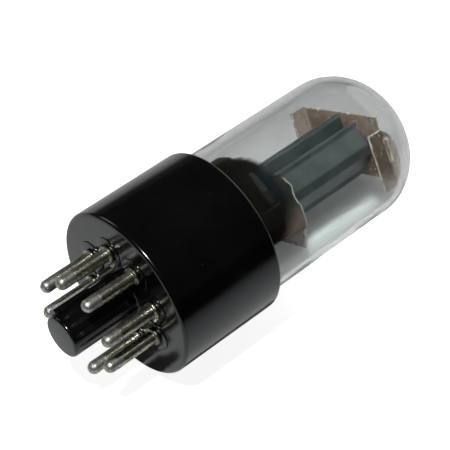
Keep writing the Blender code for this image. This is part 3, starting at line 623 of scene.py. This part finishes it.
def boolean_mesh(name, solid, others, operation, matrix):
    """The mesh of a solid after joining or cutting it with other solids."""
    scene = bpy.context.scene.collection
    body = bpy.data.objects.new(name, mesh_of(name, solid, Matrix.Identity(4)))
    scene.objects.link(body)
    helpers = []
    for other in others:
        helper = bpy.data.objects.new("helper", mesh_of("helper", other, Matrix.Identity(4)))
        scene.objects.link(helper)
        helpers.append(helper)
        modifier = body.modifiers.new("join", "BOOLEAN")
        modifier.operation = operation
        modifier.object = helper
    graph = bpy.context.evaluated_depsgraph_get()
    mesh = bpy.data.meshes.new_from_object(body.evaluated_get(graph))
    for helper in helpers + [body]:
        bpy.data.objects.remove(helper)
    mesh.transform(matrix)
    return mesh


def make_base(finish):
    """The moulded base: rounded cup, hollow post with its key, and a low ring round each pin place."""
    quarter = math.pi / 2
    post_round = (POST_RADIUS - POST_END_ROUND, POST_END_ROUND - POST_LENGTH)
    foot_round = (BASE_RADIUS - BASE_FOOT_ROUND, BASE_FOOT_ROUND)
    rim_round = (BASE_RADIUS - BASE_RIM_ROUND, BASE_HEIGHT - BASE_RIM_ROUND)
    profile = [(0, -POST_LENGTH)] + arc(post_round, POST_END_ROUND, -quarter, 0, 8)
    fillet = 0.4 * MM
    profile += arc((POST_RADIUS + fillet, -fillet), fillet, math.pi, quarter, 6)
    profile += arc(foot_round, BASE_FOOT_ROUND, -quarter, 0, 10)
    profile += arc(rim_round, BASE_RIM_ROUND, 0, quarter, 8)
    profile += [(BASE_BORE, BASE_HEIGHT), (BASE_BORE, BASE_FLOOR), (POST_BORE, BASE_FLOOR)]
    profile += [(POST_BORE, POST_END_WALL - POST_LENGTH), (0, POST_END_WALL - POST_LENGTH)]
    sunk = BASE_FLOOR / 2
    joined = []
    ease = 0.03 * MM
    for number in range(1, PIN_POSITIONS + 1):
        pad = arc((PAD_RADIUS - ease, ease - PAD_HEIGHT), ease, -quarter, 0, 4) + [(PAD_RADIUS, sunk)]
        solid = turned(pad, SMALL_SIDES)
        bmesh.ops.transform(solid, matrix=pin_place(number), verts=solid.verts[:])
        joined.append(solid)
    joined.append(key_rib(sunk))
    mesh = boolean_mesh("base_shell", turned(profile, FINE_SIDES), joined, "UNION", TUBE)
    add_piece("base_shell", mesh, finish, ["base"], 28)


def key_rib(sunk):
    """The rib on the post, with a rounded crest."""
    half = KEY_WIDTH / 2
    crest = 0.35 * MM
    root = 0.6 * MM
    inside = POST_RADIUS - root
    top = POST_RADIUS + KEY_RISE
    outline = [(inside, -half)] + arc((top - crest, crest - half), crest, -math.pi / 2, 0, 5)
    outline += arc((top - crest, half - crest), crest, 0, math.pi / 2, 5) + [(inside, half)]
    bm = bmesh.new()
    raise_outline(bm, outline, KEY_END_GAP - POST_LENGTH, sunk)
    bmesh.ops.transform(bm, matrix=Matrix.Rotation(KEY_ANGLE, 4, "Z"), verts=bm.verts[:])
    return bm


def make_pins(nickel, solder):
    """Seven hollow pins with flared collars, each closed by a dull bead of solder."""
    quarter = math.pi / 2
    collar_top = -PAD_HEIGHT - FIT_GAP / 2
    collar_low = collar_top - PIN_COLLAR_HEIGHT
    rivet_low = BASE_FLOOR + FIT_GAP
    lip = 0.12 * MM
    neck = 0.22 * MM
    seam = 0.03 * MM
    shell = [(PIN_BORE, PIN_END_Z)]
    shell += arc((PIN_RADIUS - lip / 2, PIN_END_Z + lip / 2), lip / 2, -quarter, 0, 3)
    shell += arc((PIN_RADIUS + neck, collar_low - neck), neck, math.pi, quarter, 5)
    shell += arc((PIN_COLLAR_RADIUS - lip, collar_low + lip), lip, -quarter, 0, 5)
    shell += arc((PIN_COLLAR_RADIUS - lip, collar_top - lip), lip, 0, quarter, 4)
    shell += [(PIN_RADIUS, collar_top), (PIN_RADIUS, rivet_low), (PIN_COLLAR_RADIUS, rivet_low)]
    rivet_top = rivet_low + PIN_RIVET_HEIGHT
    shell += [(PIN_COLLAR_RADIUS, rivet_top), (PIN_BORE, rivet_top)]
    plug = PIN_BORE - FIT_GAP / 2
    top = PIN_END_Z - seam
    bead = arc((0, PIN_RADIUS - PIN_LENGTH), PIN_RADIUS, -quarter, 0, 12)
    bead[0] = (0, -PIN_LENGTH)
    bead += stretch_of(bead[-1], (PIN_RADIUS, top), 9) + [(PIN_RADIUS, top), (plug, top)]
    bead += [(plug, PIN_END_Z + SOLDER_PLUG_LENGTH), (0, PIN_END_Z + SOLDER_PLUG_LENGTH)]
    for number in PIN_NUMBERS:
        matrix = TUBE @ pin_place(number)
        mesh = mesh_of("pin", turned(shell, PIN_SIDES, looped=True), matrix)
        add_piece(f"contact_{number}", mesh, nickel, [f"pin_{number}"])
        solid = turned(bead, PIN_SIDES)
        lumps(solid, number)
        mesh = mesh_of("bead", solid, matrix)
        add_piece(f"bead_{number}", mesh, solder, [f"solder_tip_{number}"])


def lumps(bm, seed):
    """Makes the skin of a solder bead uneven, by a different amount on each pin."""
    depth = 0.07 * MM
    most_outward = 0.2
    lump_size = 1.3 * MM
    clear_of_pin = 0.1 * MM
    apart = Vector((7.0 * seed, 0, 0))
    for vert in bm.verts:
        if vert.co.z < PIN_END_Z - clear_of_pin:
            swell = min(noise.noise(vert.co / lump_size + apart), most_outward)
            vert.co.xy *= 1 + depth * swell / PIN_RADIUS


def make_stem(finish):
    """The flared glass stem, pinched flat round the leads."""
    rim = BULB_RADIUS - BULB_TUCK_DEPTH - BULB_WALL - FIT_GAP - STEM_WALL
    flare = []
    flare_steps, press_steps = 16, 12
    for step in range(flare_steps + 1):
        share = step / flare_steps
        radius = STEM_NECK_RADIUS + (rim - STEM_NECK_RADIUS) * (1 - share) ** 3
        flare.append((radius, BULB_FOOT_Z + (STEM_NECK_Z - BULB_FOOT_Z) * share))
    neck = STEM_NECK_RADIUS + STEM_WALL
    rings = [(0, 0, STEM_NECK_Z)] + [(radius, radius, height) for radius, height in flare[::-1]]
    rings += [(radius + STEM_WALL, radius + STEM_WALL, height) for radius, height in flare]
    ceiling = STEM_NECK_Z + STEM_WALL
    straight = (STEM_PRESS_Z - ceiling) * 0.94
    for step in range(1, press_steps + 1):
        share = step / press_steps
        ease = share * share * (3 - 2 * share)
        half_width = neck + (STEM_PRESS_HALF_WIDTH - neck) * ease
        half_depth = neck + (STEM_PRESS_HALF_DEPTH - neck) * ease
        rings.append((half_width, half_depth, ceiling + straight * share))
    rings.append((STEM_PRESS_HALF_WIDTH * 0.96, STEM_PRESS_HALF_DEPTH * 0.82, STEM_PRESS_Z))
    bm = bmesh.new()
    skin(bm, rings, STEM_SIDES)
    add_piece("stem", mesh_of("stem", bm, CAGE), finish, ["glass_stem"])


def sheet_outline(path, thickness):
    """Both faces of a folded sheet along a path with eased folds."""
    fold_reach = 0.22 * MM
    eased = rounded_path([(*spot, 0) for spot in path], fold_reach, 4)
    left, right = [], []
    for index, spot in enumerate(eased):
        along = eased[min(index + 1, len(eased) - 1)] - eased[max(index - 1, 0)]
        aside = Vector((-along.y, along.x, 0)).normalized() * thickness / 2
        left.append((spot + aside).to_2d())
        right.append((spot - aside).to_2d())
    return left + right[::-1]


def raise_outline(bm, outline, low, high):
    """A straight solid on an outline, between two heights."""
    face = bm.faces.new([bm.verts.new((x, y, low)) for x, y in outline])
    grown = bmesh.ops.extrude_face_region(bm, geom=[face])
    raised = [item for item in grown["geom"] if isinstance(item, bmesh.types.BMVert)]
    bmesh.ops.translate(bm, vec=(0, 0, high - low), verts=raised)


def make_sheets(finish):
    """The folded anodes, with a fin down each side and tabs through the micas, and the shield between."""
    half = (ANODE_WIDTH - ANODE_THICKNESS) / 2
    fin = ANODE_WIDTH / 2 - ANODE_FIN
    flat = ANODE_FLAT / 2
    deep = (ANODE_DEPTH - ANODE_THICKNESS) / 2
    path = [(-half, ANODE_LAYER), (-fin, ANODE_LAYER), (-flat, deep)]
    path += [(-x, y) for x, y in path[::-1]]
    path += [(x, -y) for x, y in path[::-1]]
    low = BOTTOM_MICA_Z - ANODE_TAB_PROUD
    high = TOP_MICA_Z + MICA_THICKNESS + ANODE_TAB_PROUD
    for which, side in (("front", -1), ("back", 1)):
        bm = bmesh.new()
        folded = [(side * x, side * (y + CATHODE_OFFSET)) for x, y in path]
        raise_outline(bm, sheet_outline(folded, ANODE_THICKNESS), PLATE_BOTTOM_Z, PLATE_TOP_Z)
        for across in (ANODE_TAB_OFFSET, -ANODE_TAB_OFFSET):
            ends = [(across - ANODE_TAB_WIDTH / 2, side * ANODE_TAB_DEPTH)]
            ends += [(across + ANODE_TAB_WIDTH / 2, side * ANODE_TAB_DEPTH)]
            tab = sheet_outline(ends, 0.9 * ANODE_THICKNESS)
            raise_outline(bm, tab, low, PLATE_BOTTOM_Z + ANODE_FIN)
            raise_outline(bm, tab, PLATE_TOP_Z - ANODE_FIN, high)
        mesh = mesh_of("plate", bm, CAGE)
        add_piece(f"plate_{which}", mesh, finish, [f"anode_{which}"])
    half = SHIELD_HALF_WIDTH
    fold = 3 * SHIELD_THICKNESS
    bm = bmesh.new()
    path = [(-half, fold), (-half, 0), (half, 0), (half, fold)]
    raise_outline(bm, sheet_outline(path, SHIELD_THICKNESS), PLATE_BOTTOM_Z, PLATE_TOP_Z)
    add_piece("screen", mesh_of("screen", bm, CAGE), finish, ["shield"])


def make_micas(browned, clear):
    """The mica strips and vanes, from copies of their solids, with a pale band along each edge: real
    fraying and partly a painted edge highlight.
    """
    band = 0.35 * MM
    flat_turn = math.radians(1)
    nearly_along = 0.99
    for name in ("top_mica", "bottom_mica", "vane_front", "vane_back"):
        bm = bmesh.new()
        bm.from_mesh(NODES[name].data)
        bmesh.ops.remove_doubles(bm, verts=bm.verts[:], dist=WELD)
        bmesh.ops.dissolve_limit(bm, angle_limit=flat_turn, verts=bm.verts[:], edges=bm.edges[:])
        edge = bm.verts.layers.float.new("edge")
        middle = set()
        across = (CAGE.to_3x3() @ Vector((0, 0, 1) if "mica" in name else (0, 1, 0))).normalized()
        for side in (1, -1):
            bm.normal_update()
            flat = [face for face in bm.faces if face.normal.dot(across) * side > nearly_along]
            bmesh.ops.inset_region(bm, faces=flat, thickness=band, use_even_offset=True)
            middle |= {vert for face in flat for vert in face.verts}
        for vert in bm.verts:
            vert[edge] = 0.0 if vert in middle else 1.0
        leaf = mesh_of(name, bm, Matrix.Identity(4))
        add_piece(f"{name}_leaf", leaf, browned if "mica" in name else clear, [name])


def lead_ends():
    """For each pin number in the press's order: where its inner lead rises to, as (x, y, height)."""
    tab_end = BOTTOM_MICA_Z - ANODE_TAB_PROUD
    beside = -CATHODE_RADIUS - 2 * FIT_GAP - LEAD_RADIUS
    heater = BOTTOM_MICA_Z - CATHODE_PROUD - HEATER_PROUD
    return (
        (1, (-ROD_OFFSET, ROD_DEPTH, BOTTOM_MICA_Z - ROD_PROUD)),
        (4, (beside, -CATHODE_OFFSET, BOTTOM_MICA_Z)),
        (8, (beside, CATHODE_OFFSET, BOTTOM_MICA_Z)),
        (2, (HEATER_LEG_OFFSET, -CATHODE_OFFSET, heater)),
        (7, (HEATER_LEG_OFFSET, CATHODE_OFFSET, heater)),
        (3, (ANODE_TAB_OFFSET, -ANODE_TAB_DEPTH, tab_end)),
        (5, (ANODE_TAB_OFFSET, ANODE_TAB_DEPTH, tab_end)),
    )


def make_wires(nickel, coated):
    """Inner leads, cathode sleeves, heaters and support rods."""
    ends = lead_ends()
    start = STEM_PRESS_Z - FIT_GAP
    for order, (number, (x, y, stop)) in enumerate(ends):
        foot = (order - (len(ends) - 1) / 2) * LEAD_SPACING
        bend = start + (stop - start) * 0.6
        path = [(foot, 0, start), (foot, 0, start + 2 * LEAD_RADIUS), (x, y, bend), (x, y, stop)]
        mesh = wire_mesh("lead", path, LEAD_RADIUS, CAGE)
        add_piece(f"lead_{number}", mesh, nickel, [f"inner_lead_{number}"])
    low = BOTTOM_MICA_Z - CATHODE_PROUD
    high = TOP_MICA_Z + MICA_THICKNESS + CATHODE_PROUD
    inside = CATHODE_RADIUS - CATHODE_WALL
    sleeve = [(inside, low), (CATHODE_RADIUS, low), (CATHODE_RADIUS, high), (inside, high)]
    for which, side in (("front", -1), ("back", 1)):
        shift = Matrix.Translation((0, side * CATHODE_OFFSET, 0))
        mesh = mesh_of("sleeve", turned(sleeve, PIN_SIDES, looped=True), CAGE @ shift)
        add_piece(f"sleeve_{which}", mesh, nickel, [f"cathode_{which}"])
        leg = HEATER_LEG_OFFSET
        bend = high - CATHODE_PROUD
        path = [(leg, 0, low - HEATER_PROUD), (leg, 0, bend), (0, 0, bend + leg)]
        path += [(-leg, 0, bend), (-leg, 0, low)]
        mesh = wire_mesh("hairpin", path, HEATER_RADIUS, CAGE @ shift, 0.2 * MM)
        add_piece(f"hairpin_{which}", mesh, coated, [f"heater_{which}"])
    low = BOTTOM_MICA_Z - ROD_PROUD
    high = TOP_MICA_Z + MICA_THICKNESS + ROD_PROUD
    ease = 0.15 * MM
    rod = [(ROD_RADIUS - ease, low), (ROD_RADIUS, low + ease)]
    rod += [(ROD_RADIUS, high - ease), (ROD_RADIUS - ease, high)]
    for which, side in (("left", -1), ("right", 1)):
        shift = Matrix.Translation((side * ROD_OFFSET, ROD_DEPTH, 0))
        mesh = mesh_of("rod", turned(rod, PIN_SIDES), CAGE @ shift)
        add_piece(f"rod_{which}", mesh, nickel, [f"support_rod_{which}"])


def make_getter(nickel):
    """The getter's pan, with a rolled rim, and the wire that carries it."""
    wall = 0.2 * MM
    rim = arc((GETTER_RADIUS - wall, GETTER_DEPTH - wall), wall, 0, math.pi, 6)
    inner = GETTER_RADIUS - 2 * wall
    profile = [(0, 0), (GETTER_RADIUS - wall, 0), (GETTER_RADIUS, wall)] + rim
    profile += [(inner, 2 * wall), (inner - wall, wall), (0, wall)]
    back = GETTER_DEPTH - GETTER_FACE
    face = CAGE @ Matrix.Translation((0, back, GETTER_Z)) @ Matrix.Rotation(math.pi / 2, 4, "X")
    mesh = mesh_of("pan", turned(profile, SMALL_SIDES), face)
    add_piece("pan", mesh, nickel, ["getter_pan"])
    low = STEM_PRESS_Z - 4 * LEAD_RADIUS
    foot = Vector((0, -STEM_PRESS_HALF_DEPTH, low))
    end = Vector((0, back, GETTER_Z))
    mesh = wire_mesh("pan_wire", [foot, (foot + end) / 2, end], LEAD_RADIUS, CAGE)
    add_piece("pan_wire", mesh, nickel, ["getter_wire"])


def height_at(angle, line):
    """The height along a line of (degrees from the near side, height in millimetres)."""
    for (before, low), (after, high) in zip(line, line[1:]):
        if angle <= after:
            return low + (high - low) * step_between(before, after, angle)
    return line[-1][1]


def film_top(angle):
    """The height of the film's upper edge, with a slight ripple."""
    ripple = FILM_RIPPLE * noise.noise(Vector((angle / FILM_RIPPLE_ANGLE, 2.7, 0)))
    return (height_at(angle, FILM_TOP) + ripple) * MM


def step_between(low, high, value):
    """An eased step from 0 at low to 1 at high."""
    share = min(max((value - low) / (high - low), 0), 1)
    return share * share * (3 - 2 * share)


def make_film(finish):
    """The dark getter film inside the near wall, as a thin shell whose points say how dense it is."""
    outer = BULB_RADIUS - BULB_WALL - FILM_GLASS_GAP - BULB_WANDER
    first, last = FILM_TOP[0][0], FILM_TOP[-1][0]
    bm = bmesh.new()
    layers = {name: bm.verts.layers.float.new(name) for name in FILM_LAYERS}
    skins = []
    for radius in (outer, outer - FILM_THICKNESS):
        grid = []
        for column in range(FILM_COLUMNS + 1):
            angle = first + (last - first) * column / FILM_COLUMNS
            top = film_top(angle)
            turn = math.radians(angle * FILM_ANGLE_SEEN)
            out = NEAR_SIDE * math.cos(turn) + RIGHT_SIDE * math.sin(turn)
            strip = []
            for row in range(FILM_ROWS + 1):
                height = FILM_LOW_Z + (top - FILM_LOW_Z) * row / FILM_ROWS
                spot = Vector((SEAT_X + height, 0, AXIS_Z)) + out * radius
                vert = bm.verts.new(spot)
                for name, value in film_values(angle, height / MM, (top - height) / MM).items():
                    vert[layers[name]] = value
                strip.append(vert)
            grid.append(strip)
        skins.append(grid)
    close_shell(bm, *skins)
    mesh = mesh_of("getter_film", bm, Matrix.Identity(4))
    add_piece("getter_film", mesh, finish)


def film_values(angle, height, below):
    """How much the film covers, how brown, tan and blue it is, how strongly a painted sheen shows on it,
    and how far its pale lines show.

    The angle is in degrees from the near side. The height, and the distance below the upper edge, are in
    millimetres.
    """
    blurred = step_between(-47, -40, angle) * (1 - step_between(-12, -4, angle))
    cover = step_between(-0.1, 0.15 + 1.85 * blurred, below) * step_between(-54, -52, angle)
    cover *= 0.7 + 0.3 * step_between(-51, -43, angle)
    cover *= 1 - 0.85 * step_between(31, 50, angle)
    lobe_end = max(36.5, 43 + 3.2 * (height - 27.8))
    cover *= 1 - step_between(lobe_end - 3, lobe_end + 0.5, angle)
    core = height_at(angle, FILM_CORE)
    brown = step_between(core, core + FILM_BROWNING, height)
    tan = step_between(12, 32, angle)
    middle = step_between(-28, -18, angle) * (1 - step_between(2, 10, angle))
    blue = middle * step_between(27.2, 27.9, height)
    # A lighter band across the middle of the film, a painted sheen
    painted_sheen = middle * step_between(25.6, 27.0, height) * (1 - step_between(26.9, 27.9, height))
    edge_line = step_between(-8, -3, angle) * (1 - step_between(49, 52, angle))
    edge_line = max(edge_line, 0.2 * (1 - step_between(-47, -43, angle)))
    edge_line *= 1 - step_between(0.04, 0.24, below)
    cover = max(cover, 0.95 * edge_line)
    scratch = 1 - step_between(0.15, 0.5, abs(angle - FILM_SCRATCH_ANGLE))
    scratch *= step_between(23.0, 23.6, height) * (1 - step_between(27.6, 28.6, height))
    line = max(edge_line, 0.02 * scratch)
    return dict(zip(FILM_LAYERS, (cover, brown, tan, blue, painted_sheen, line)))


def close_shell(bm, outer, inner):
    """Faces of both skins, and of the four edges between them."""
    columns, rows = len(outer), len(outer[0])
    for grid in (outer, inner):
        for left, right in zip(grid, grid[1:]):
            for row in range(rows - 1):
                bm.faces.new((left[row], right[row], right[row + 1], left[row + 1]))
    for column in (0, columns - 1):
        for row in range(rows - 1):
            near, far = outer[column], inner[column]
            bm.faces.new((near[row], near[row + 1], far[row + 1], far[row]))
    for row in (0, rows - 1):
        for column in range(columns - 1):
            near, far = outer[column], outer[column + 1]
            bm.faces.new((near[row], far[row], inner[column + 1][row], inner[column][row]))


def finish_nodes(finishes):
    """Gives each CAD node that still shows its own finish, by the name of the record's slot."""
    for row in frame["record"]["subparts"]:
        node = NODES[row["node"]]
        if not node.hide_render:
            node.material_slots[0].material = finishes[row["material_slot"]]


def stage_material(name):
    """Pale stage: white to the camera, over a plain colour that takes shadows and fades out in front as
    painted shade.
    """
    made, tree, shader = new_material(name)
    across = add(tree, "ShaderNodeSeparateXYZ", {0: place(tree)}).outputs["Y"]
    # Painted shade: the floor's colour turns to black towards the camera, as if the near floor lay out of
    # the light
    lit = spread(tree, across, STAGE_PAINTED_SHADE_Y, STAGE_PAINTED_LIT_Y)
    colour = mixed(tree, lit, (0.0, 0.0, 0.0), STAGE_COLOUR)
    feed(tree, shader, Base_Color=colour, Roughness=0.9, Specular_IOR_Level=0.0)
    path = add(tree, "ShaderNodeLightPath").outputs
    inside = arithmetic(tree, "MAXIMUM", path["Is Glossy Ray"], path["Is Transmission Ray"])
    inside = arithmetic(tree, "MULTIPLY", inside, spread(tree, lit, 0, 1, 0, STAGE_GLOW_INSIDE))
    glow = spread(tree, lit, 0, 1, 1.0, STAGE_GLOW_SEEN)
    seen = arithmetic(tree, "MULTIPLY", path["Is Camera Ray"], glow)
    feed(tree, shader, Emission_Color=(1.0, 1.0, 1.0))
    feed(tree, shader, Emission_Strength=arithmetic(tree, "MAXIMUM", seen, inside))
    return made


def add_lamp(name, towards, distance, size, energy):
    """A round lamp that shines at the tube from a direction."""
    lamp = bpy.data.lights.new(name, "AREA")
    lamp.shape = "DISK"
    lamp.size = size
    lamp.energy = energy
    holder = bpy.data.objects.new(name, lamp)
    bpy.context.scene.collection.objects.link(holder)
    towards = Vector(towards).normalized()
    holder.location = Vector((0, 0, AXIS_Z)) + towards * distance
    holder.rotation_euler = (-towards).to_track_quat("-Z", "Y").to_euler()


def make_stage():
    """A pale floor, a low pale wall far round it, a dark room and the lamps."""
    floor_half = 6.0
    wall_radius = 3.0
    wall_height = 0.6
    wall_sides = 96
    bm = bmesh.new()
    bmesh.ops.create_grid(bm, x_segments=1, y_segments=1, size=floor_half)
    floor = bpy.data.objects.new("floor", mesh_of("floor", bm, Matrix.Identity(4)))
    bm = bmesh.new()
    rings = [ring_of(bm, wall_radius, wall_radius, height, wall_sides) for height in (0.0, wall_height)]
    bridge(bm, *rings)
    wall = bpy.data.objects.new("backdrop", mesh_of("backdrop", bm, Matrix.Identity(4)))
    for made in (floor, wall):
        bpy.context.scene.collection.objects.link(made)
        made.data.materials.append(stage_material(f"{made.name}_white"))
    world = bpy.data.worlds.new("room")
    world.use_nodes = True
    world.node_tree.nodes["Background"].inputs["Color"].default_value = ROOM_COLOUR
    bpy.context.scene.world = world
    for lamp in LAMPS:
        add_lamp(*lamp)


def make_camera():
    """The photograph's camera."""
    data = bpy.data.cameras.new("camera")
    data.lens = CAMERA_LENS
    data.sensor_width = CAMERA_SENSOR
    camera = bpy.data.objects.new("camera", data)
    bpy.context.scene.collection.objects.link(camera)
    right = CAMERA_FORWARD.cross((0, 0, 1)).normalized()
    up = right.cross(CAMERA_FORWARD).normalized()
    turn = Matrix((right, up, -CAMERA_FORWARD)).transposed().to_4x4()
    camera.matrix_world = Matrix.Translation(CAMERA_PLACE) @ turn
    bpy.context.scene.camera = camera


def main():
    """Builds the camera, the pieces and the stage."""
    make_camera()
    finishes = {
        "phenolic": phenolic_material(),
        "cement": cement_material(),
        "glass": glass_material("smoke_glass", (0.86, 0.88, 0.875)),
        "mica": mica_material("browned_mica", (0.36, 0.262, 0.195), (0.185, 0.122, 0.083), 0.5, 0),
        "vane": mica_material("clear_mica", (0.94, 0.92, 0.88), (0.42, 0.31, 0.24), 0.88, 1),
        "carbonised": carbon_material(),
        "bright_nickel": nickel_material(),
        "tungsten": heater_material(),
        "pin_nickel": pin_material(),
        "solder": solder_material(),
        "copper": copper_material(),
    }
    make_bulb(finishes["glass"])
    make_base(finishes["phenolic"])
    make_pins(finishes["pin_nickel"], finishes["solder"])
    make_stem(finishes["glass"])
    make_sheets(finishes["carbonised"])
    make_micas(finishes["mica"], finishes["vane"])
    make_wires(finishes["bright_nickel"], finishes["tungsten"])
    make_getter(finishes["bright_nickel"])
    make_film(film_material())
    finish_nodes(finishes)
    make_stage()
    bpy.context.scene.view_settings.view_transform = "Standard"


main()
